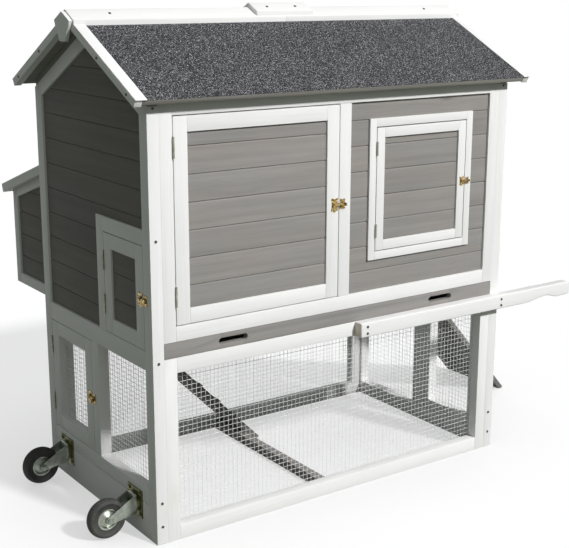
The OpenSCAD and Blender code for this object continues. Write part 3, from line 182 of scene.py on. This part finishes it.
sky = mixed(tree, 1.0, sky, leafy, "MULTIPLY")
tree.links.new(sky, tree.nodes["Background"].inputs["Color"])
tree.links.new(side, tree.nodes["Background"].inputs["Strength"])


# Corner posts and frames: planed softwood sticks, butted, screwed together and painted white.
# Each stick has eased edges, its own run of grain under the paint, and faint knots.
def islands(bm):
    """The separate solids of a mesh, as lists of vertices."""
    left = set(bm.verts)
    found = []
    for start in bm.verts:
        if start not in left:
            continue
        left.discard(start)
        group, edge = [start], [start]
        while edge:
            for link in edge.pop().link_edges:
                for v in link.verts:
                    if v in left:
                        left.discard(v)
                        group.append(v)
                        edge.append(v)
        found.append(group)
    return found


def shown(name, mesh, body, *replaced, slot=None):
    """Puts a finished mesh in the scene, on its body, in place of the named nodes."""
    made = bpy.data.objects.new(name, mesh)
    scene.collection.objects.link(made)
    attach(made, body)
    if replaced:
        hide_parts(*replaced)
        if slot is None:
            slot = [s["material_slot"] for s in frame["record"]["subparts"] if s["node"] == replaced[0]][0]
    return made


def dressed(part, material, ease, steps=2, smooth=32.0, chosen=None, reshape=None, slot=None):
    """Rebuilds a node's solids, or those whose size is chosen, with eased edges.

    Each solid gets grain along its length, a tone of its own, and a mark on its end-grain faces.
    """
    same_point, same_plane, sharp_from, end_from = 2e-6, radians(0.5), radians(28), 0.95
    bm = bmesh.new()
    bm.from_mesh(frame["nodes"][part].data)
    bmesh.ops.remove_doubles(bm, verts=bm.verts[:], dist=same_point)
    if chosen:
        for solid in islands(bm):
            size = np.ptp([v.co for v in solid], axis=0)
            if not chosen(sorted(size)):
                bmesh.ops.delete(bm, geom=solid, context="VERTS")
    if reshape:
        reshape(bm)
    bmesh.ops.dissolve_limit(bm, angle_limit=same_plane, verts=bm.verts[:], edges=bm.edges[:])
    if ease:
        sharp = [e for e in bm.edges if len(e.link_faces) == 2 and e.calc_face_angle(0) > sharp_from]
        bmesh.ops.bevel(
            bm, geom=sharp, offset=ease, segments=steps, profile=0.6, affect="EDGES", clamp_overlap=True
        )
    grain = bm.verts.layers.float_vector.new("grain")
    tone = bm.verts.layers.float.new("tone")
    cut = bm.faces.layers.float.new("cut")
    draw = np.random.default_rng(sum(part.encode()))
    for solid in islands(bm):
        points = np.array([v.co for v in solid])
        middle = points.mean(0)
        _, turn = np.linalg.eigh(np.cov((points - middle).T))
        start, shade = draw.uniform(-40, 40, 3), draw.uniform(0, 1)
        for v, p in zip(solid, (points - middle) @ turn[:, ::-1] + start):
            v[grain] = p
            v[tone] = shade
        for face in {f for v in solid for f in v.link_faces}:
            face[cut] = float(abs(face.normal.dot(Vector(turn[:, 2]))) > end_from)
    name = part + "_" + material.name
    mesh = bpy.data.meshes.new(name)
    bm.to_mesh(mesh)
    bm.free()
    mesh.materials.append(material)
    mesh.shade_smooth()
    mesh.set_sharp_from_angle(angle=radians(smooth))
    return shown(name, mesh, frame["nodes"][part]["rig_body"], part, slot=slot)


def stretched(tree, source, along, across):
    """A position scaled along and across the grain, for textures that run with it."""
    return node(tree, "Mapping", {"Vector": source, "Scale": (along, across, across)}).outputs["Vector"]


def streaks(tree, source, along, across, detail):
    """Noise drawn out along the grain: its scale along and across it, and its detail."""
    place = stretched(tree, source, along, across)
    return node(tree, "TexNoise", {"Vector": place, "Scale": 1.0, "Detail": detail}).outputs["Fac"]


def bumped(tree, shader, height, strength, depth):
    made = node(tree, "Bump", {"Height": height, "Strength": strength, "Distance": depth})
    tree.links.new(made.outputs["Normal"], shader.inputs["Normal"])


def painted(name, ends):
    """White paint over softwood; ends is how far the end grain shows through."""
    thin, thick = (0.822, 0.816, 0.81), (0.856, 0.85, 0.842)
    knot_tint, end_tint = (0.6, 0.55, 0.46, 1), (0.66, 0.59, 0.47, 1)
    made, tree, shader = finish(name)
    grain = node(tree, "Attribute", attribute_name="grain").outputs["Vector"]
    cut = node(tree, "Attribute", attribute_name="cut").outputs["Fac"]
    fibre = streaks(tree, grain, 4, 170, 6.0)
    brush = streaks(tree, grain, 6, 30, 4.0)
    knots = node(tree, "TexVoronoi", {"Vector": stretched(tree, grain, 2.2, 6), "Scale": 1.0})
    coat = ramp(tree, brush, (0.3, thin), (0.7, thick))
    coat = mixed(tree, 0.5, coat, ramp(tree, fibre, (0.3, 0.93), (0.5, 1.0)), "MULTIPLY")
    coat = mixed(tree, ramp(tree, knots.outputs["Distance"], (0.02, 0.16), (0.1, 0.0)), coat, knot_tint)
    coat = mixed(tree, sum_of(tree, "MULTIPLY", cut, ends), coat, end_tint)
    tree.links.new(coat, shader.inputs["Base Color"])
    tree.links.new(ramp(tree, fibre, (0.3, 0.5), (0.7, 0.62)), shader.inputs["Roughness"])
    shader.inputs["Specular IOR Level"].default_value = 0.15
    bumped(tree, shader, fibre, 0.16, 0.001)
    return made


white_paint = painted("white_paint", 0.0)
stick_ease = 0.0006
for part in (
    "corner_posts",
    "left_end_frame",
    "right_end_frame",
    "front_frame",
    "back_frame",
    "door_trims",
    "nest_box_frame",
):
    dressed(part, white_paint, stick_ease)


# Wall boards: tongue-and-groove softwood in a thin, even grey stain that lets a little grain and a
# few knots show. Every board is cut from another length. The castor end's boards are drawn in a
# darker copy of the stain, painted shade for the shadow that end lies in, and the right gable has a
# strip so narrow over its hole that its edges are eased less.
def stained(name, depth):
    """Grey stain on softwood; depth scales its colour as a whole, and below 1 paints shade into it."""
    dark, light = (tuple(depth * c for c in tint) for tint in ((0.272, 0.258, 0.247), (0.324, 0.31, 0.299)))
    cool, warm = (0.95, 0.98, 1.0), (1.06, 1.0, 0.95)
    knot_tint, knot_share, knot_swirl = (0.15, 0.135, 0.12, 1), 0.62, 0.012
    made, tree, shader = finish(name)
    grain = node(tree, "Attribute", attribute_name="grain").outputs["Vector"]
    tone = node(tree, "Attribute", attribute_name="tone").outputs["Fac"]
    cells = node(tree, "TexVoronoi", {"Vector": stretched(tree, grain, 3.4, 13), "Scale": 1.0})
    pick = node(tree, "SeparateColor", {"Color": cells.outputs["Color"]}).outputs[0]
    rare = sum_of(tree, "GREATER_THAN", pick, knot_share)
    near = ramp(tree, cells.outputs["Distance"], (0.0, 1.0), (0.35, 0.0))
    swirl = sum_of(tree, "MULTIPLY", sum_of(tree, "MULTIPLY", near, rare), knot_swirl)
    aside = node(tree, "CombineXYZ", {"Y": swirl, "Z": swirl}).outputs[0]
    bent = node(tree, "VectorMath", {0: grain, 1: aside}).outputs[0]
    streak = streaks(tree, bent, 1.8, 55, 7.0)
    fibre = streaks(tree, bent, 12, 420, 4.0)
    cloud = streaks(tree, grain, 5, 16, 4.0)
    stain = ramp(tree, streak, (0.3, dark), (0.7, light))
    stain = mixed(tree, 0.4, stain, ramp(tree, cloud, (0.35, cool), (0.65, warm)), "MULTIPLY")
    stain = mixed(tree, 0.25, stain, ramp(tree, fibre, (0.3, 0.72), (0.7, 1.08)), "MULTIPLY")
    board = ramp(tree, tone, (0.0, (0.97, 0.975, 0.98)), (1.0, (1.03, 1.02, 1.01)))
    stain = mixed(tree, 1.0, stain, board, "MULTIPLY")
    core = ramp(tree, cells.outputs["Distance"], (0.03, 0.6), (0.1, 0.0))
    stain = mixed(tree, sum_of(tree, "MULTIPLY", core, rare), stain, knot_tint)
    tree.links.new(stain, shader.inputs["Base Color"])
    tree.links.new(ramp(tree, fibre, (0.3, 0.6), (0.7, 0.74)), shader.inputs["Roughness"])
    shader.inputs["Specular IOR Level"].default_value = 0.12
    bumped(tree, shader, fibre, 0.18, 0.0008)
    return made


grey_stain = stained("grey_stain", 1.0)
board_ease, narrow_ease = 0.0006, 0.0003
for part in ("front_boards", "back_boards", "ground_rail"):
    dressed(part, grey_stain, board_ease)
dressed("right_gable_boards", grey_stain, narrow_ease)
# A darker copy of the grey stain: painted shade for the boards that lie in shadow at the castor end.
painted_shade_stain = stained("painted_shade_stain", 0.65)
for part in ("left_gable_boards", "nest_box_boards"):
    dressed(part, painted_shade_stain, board_ease)


# Ramps: one plank each, stained as the boards are, with short cleats nailed across the middle for
# the hens' feet. The inner one leans on the ground rail, the other one on the grass.
cleat_in, plank_edge = 0.034, 0.001


def short_cleats(bm):
    """Draws the ends of a ramp's cleats in from the plank's edges."""
    edges = [v.co.y for v in bm.verts]
    middle, half = (max(edges) + min(edges)) / 2, (max(edges) - min(edges)) / 2
    for v in bm.verts:
        if abs(v.co.y - middle) < half - plank_edge:
            v.co.y = middle + (half - cleat_in) * (1 if v.co.y > middle else -1)


# The ramps take the darker copy of the stain, painted shade for the shadow under the house.
for part in ("inner_ramp", "outside_ramp"):
    dressed(part, painted_shade_stain, board_ease, reshape=short_cleats)


# Run nets: welded wire on a half-inch square pitch, galvanised after welding, stapled to the back
# of the frames. The level wires lie on the inside of the upright ones, and the far sides are finer.
def mottled(tree, scale, detail):
    """Even noise over a whole piece."""
    place = node(tree, "TexCoord").outputs["Object"]
    return node(tree, "TexNoise", {"Vector": place, "Scale": scale, "Detail": detail}).outputs["Fac"]


zinc_wire, tree, shader = finish("zinc_wire")
bloom = ramp(tree, mottled(tree, 60.0, 3.0), (0.3, (0.82, 0.83, 0.83)), (0.7, 0.92))
tree.links.new(bloom, shader.inputs["Base Color"])
shader.inputs["Metallic"].default_value = 0.15
shader.inputs["Roughness"].default_value = 0.4
mesh_pitch = 0.0127
near_wire_r, far_wire_r = 0.0005, 0.00035
wire_sides = 6


def net(part, wire_r):
    """Straight wires over a net's whole sheet, upright and level, in two touching layers."""
    low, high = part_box(part)
    flat = min(range(3), key=lambda axis: high[axis] - low[axis])
    run = 1 if flat == 0 else 0
    depth = (low[flat] + high[flat]) / 2
    bm = bmesh.new()
    for axis, across, layer in ((2, run, -wire_r), (run, 2, wire_r)):
        count = int((high[across] - low[across]) / mesh_pitch)
        margin = (high[across] - low[across] - count * mesh_pitch) / 2
        for i in range(count + 1):
            rings = []
            for end in (low[axis], high[axis]):
                ring = []
                for k in range(wire_sides):
                    turn = 2 * pi * k / wire_sides
                    corner = Vector((0, 0, 0))
                    corner[axis] = end
                    corner[across] = low[across] + margin + i * mesh_pitch + wire_r * cos(turn)
                    corner[flat] = depth + layer + wire_r * sin(turn)
                    ring.append(bm.verts.new(corner))
                rings.append(ring)
            for k in range(wire_sides):
                bm.faces.new((rings[0][k], rings[0][k - 1], rings[1][k - 1], rings[1][k]))
            bm.faces.new(rings[0])
            bm.faces.new(rings[1][::-1])
    bmesh.ops.recalc_face_normals(bm, faces=bm.faces[:])
    sheet = bpy.data.meshes.new(part + "_wires")
    bm.to_mesh(sheet)
    bm.free()
    sheet.materials.append(zinc_wire)
    sheet.shade_smooth()
    sheet.set_sharp_from_angle(angle=radians(65))
    shown(part + "_wires", sheet, frame["nodes"][part]["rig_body"], part)


for part in ("front_run_mesh", "left_run_mesh", "run_door_mesh"):
    net(part, near_wire_r)
for part in ("back_run_mesh", "right_run_mesh"):
    net(part, far_wire_r)


# Runners and perch: sawn softwood, left bare because nothing of it is seen from outside.
# The tray slides on the runners and the joist.
def sawn(name, *stops):
    """Rough softwood whose streaks run through the given colours."""
    made, tree, shader = finish(name)
    grain = node(tree, "Attribute", attribute_name="grain").outputs["Vector"]
    streak = streaks(tree, grain, 3, 90, 8.0)
    saw = streaks(tree, grain, 300, 14, 2.0)
    tree.links.new(ramp(tree, streak, *stops), shader.inputs["Base Color"])
    tree.links.new(ramp(tree, saw, (0.3, 0.7), (0.7, 0.85)), shader.inputs["Roughness"])
    shader.inputs["Specular IOR Level"].default_value = 0.2
    bumped(tree, shader, saw, 0.3, 0.0008)
    return made


bare_wood = sawn(
    "bare_wood", (0.3, (0.46, 0.33, 0.2)), (0.55, (0.6, 0.46, 0.3)), (0.75, (0.68, 0.55, 0.38))
)
sawn_ease = 0.0008
for part in ("tray_runners", "perch"):
    dressed(part, bare_wood, sawn_ease)


# Roof boarding: thin sheet on battens at the gables, stained a dull grey brown that shows along the
# eaves under the felt's edge.
eave_stain = sawn(
    "eave_stain", (0.3, (0.23, 0.22, 0.2)), (0.55, (0.28, 0.27, 0.245)), (0.75, (0.32, 0.31, 0.28))
)
dressed("roof_deck", eave_stain, sawn_ease)


# Roof felt: bitumen sheet with crushed slate granules pressed into it, tacked over the boarding.
# The granules are dark, with a scatter of pale flakes that catch the light.
roof_felt, tree, shader = finish("roof_felt")
grains_per_metre = 700.0
place = node(tree, "TexCoord").outputs["Object"]
grit = node(tree, "TexVoronoi", {"Vector": place, "Scale": grains_per_metre})
patch = mottled(tree, 7.0, 5.0)
cell = node(tree, "SeparateColor", {"Color": grit.outputs["Color"]}).outputs[0]
slate = ramp(
    tree,
    cell,
    (0.0, (0.008, 0.008, 0.01)),
    (0.55, (0.03, 0.03, 0.034)),
    (0.8, (0.11, 0.109, 0.118)),
    (0.92, (0.3, 0.3, 0.31)),
    (1.0, (0.75, 0.75, 0.77)),
)
slate = mixed(tree, 0.5, slate, ramp(tree, patch, (0.3, 0.85), (0.7, 1.05)), "MULTIPLY")
tree.links.new(slate, shader.inputs["Base Color"])
tree.links.new(ramp(tree, cell, (0.0, 0.9), (1.0, 0.6)), shader.inputs["Roughness"])
shader.inputs["Specular IOR Level"].default_value = 0.2
bumped(tree, shader, grit.outputs["Distance"], 0.5, 0.0012)
felt_ease = 0.0005
for part in ("roof_felt", "nest_lid_felt"):
    dressed(part, roof_felt, felt_ease)


# Barge boards, ridge boards, saddle and finials: white painted sticks nailed over the felt's edges.
# They keep the felt down and shed the rain.
trim_ease = 0.0009
for part in ("barge_boards", "ridge_boards", "finials"):
    dressed(part, white_paint, trim_ease)


# Lifting handles: one planed bar on each side, screwed along the run's top rail, with a waist and
# a rounded grip past the end. Their sawn ends are only thinly painted.
handle_paint = painted("handle_paint", 0.85)
grip_ease = 0.003
for part in ("handle_front", "handle_back"):
    dressed(part, handle_paint, grip_ease, steps=3)


# Doors: four butted stick frames, painted white, with grey boards or net inside them. The nest box
# lid is a white board with a rim under it, and the hatch and the tray's front are single grey boards.
for part in ("front_door_frame", "window_door_frame", "house_door_frame", "run_door_frame", "nest_lid"):
    dressed(part, white_paint, stick_ease)
for part in ("front_door_boards", "window_door_boards", "pop_hatch"):
    dressed(part, grey_stain, board_ease)
# The house door's boards take the darker copy of the stain, painted shade for the castor end.
dressed("house_door_boards", painted_shade_stain, board_ease)
dressed("tray_front", grey_stain, narrow_ease)


# Tray pan: one galvanised sheet with turned-up edges. The zinc shows its crystal spangle.
zinc_sheet, tree, shader = finish("zinc_sheet")
place = node(tree, "TexCoord").outputs["Object"]
spangle = node(tree, "TexVoronoi", {"Vector": place, "Scale": 55.0})
facet = node(tree, "SeparateColor", {"Color": spangle.outputs["Color"]}).outputs[0]
crystal = ramp(tree, facet, (0.0, (0.5, 0.51, 0.52)), (1.0, (0.68, 0.69, 0.7)))
tree.links.new(crystal, shader.inputs["Base Color"])
shader.inputs["Metallic"].default_value = 0.9
tree.links.new(ramp(tree, facet, (0.0, 0.35), (1.0, 0.5)), shader.inputs["Roughness"])
metal_ease = 0.0003
dressed("tray_pan", zinc_sheet, metal_ease)


# Castors: pressed plates, forks and wheels, plated after pressing and bolted to the end board. The
# plates keep the olive bloom of the plating, darkened well below the forks and wheels as painted
# shade, and the forks and wheels are plain bright zinc.
def plated(name, dark, light, metal, dull):
    """Plated steel: the plating's dark and light colours in clouds, how metallic and how dull it is."""
    made, tree, shader = finish(name)
    wear = mottled(tree, 70.0, 6.0)
    tree.links.new(ramp(tree, wear, (0.32, dark), (0.68, light)), shader.inputs["Base Color"])
    tree.links.new(ramp(tree, wear, (0.3, dull), (0.7, dull * 0.7)), shader.inputs["Roughness"])
    shader.inputs["Metallic"].default_value = metal
    return made


pressed = 40.0
# The plates' olive is the plating's own tint; their darkness is painted shade.
shaded_olive_zinc = plated("shaded_olive_zinc", (0.05, 0.055, 0.022), (0.2, 0.2, 0.07), 0.7, 0.45)
dressed("castor_plates", shaded_olive_zinc, metal_ease, smooth=pressed)
bright_zinc = plated("bright_zinc", (0.27, 0.3, 0.25), (0.47, 0.5, 0.44), 0.75, 0.45)
for part in ("castor_fork_front", "castor_fork_rear", "castor_wheel_front", "castor_wheel_rear"):
    dressed(part, bright_zinc, metal_ease, smooth=pressed)


# Hinges: narrow plated strip with rolled knuckles on a pin, let into the gap beside each door, and
# flat on the nest box lid. Weather has dulled them.
dull_zinc = plated("dull_zinc", (0.26, 0.25, 0.19), (0.44, 0.43, 0.36), 0.55, 0.6)
for part in ("frame_hinge_leaves", "nest_lid_hinges"):
    dressed(part, dull_zinc, metal_ease, smooth=pressed)


# Latches: stamped brass plates with a turning lever, browned to look old. The hollows are dark and
# the raised parts are rubbed bright. Each door's own hinge leaves are zinc, as the frame's are.
brass, tree, shader = finish("brass")
wear = mottled(tree, 260.0, 5.0)
rubbed = ramp(tree, wear, (0.38, (0.1, 0.065, 0.02)), (0.52, (0.42, 0.29, 0.1)), (0.66, (0.8, 0.63, 0.33)))
tree.links.new(rubbed, shader.inputs["Base Color"])
shader.inputs["Metallic"].default_value = 0.9
tree.links.new(ramp(tree, wear, (0.35, 0.5), (0.65, 0.28)), shader.inputs["Roughness"])
stamp_ease, lever_ease, leaf_ease = 0.0002, 0.0004, 0.0001
leaf_t = 0.006
dressed("latch_keepers", brass, stamp_ease, smooth=pressed)
for door in ("front_door", "window_door", "house_door", "run_door"):
    dressed(door + "_lever", brass, lever_ease, smooth=pressed)
    dressed(door + "_hardware", brass, stamp_ease, smooth=pressed, chosen=lambda size: size[0] > leaf_t)
    dressed(
        door + "_hardware",
        dull_zinc,
        leaf_ease,
        smooth=pressed,
        chosen=lambda size: size[0] < leaf_t,
        slot="zinc_plate",
    )


# Frame screws: small pan heads, blackened, that hold the posts, the front handle, the ridge and the
# barge boards. Each one is driven flush on its stick.
black_zinc, tree, shader = finish("black_zinc")
shader.inputs["Base Color"].default_value = (0.07, 0.068, 0.062, 1)
shader.inputs["Metallic"].default_value = 0.7
shader.inputs["Roughness"].default_value = 0.5
head_ease = 0.0004
dressed("frame_screws", black_zinc, head_ease, smooth=pressed)


# Tyres: solid black rubber pressed on the wheels, matt, with dust in the tread.
rubber, tree, shader = finish("rubber")
dust = mottled(tree, 45.0, 7.0)
dusted = ramp(tree, dust, (0.35, (0.028, 0.029, 0.028)), (0.75, (0.075, 0.074, 0.068)))
tree.links.new(dusted, shader.inputs["Base Color"])
tree.links.new(ramp(tree, dust, (0.3, 0.6), (0.7, 0.85)), shader.inputs["Roughness"])
bumped(tree, shader, dust, 0.2, 0.0006)
for part in ("castor_tyre_front", "castor_tyre_rear"):
    dressed(part, rubber, 0.0, smooth=50.0)
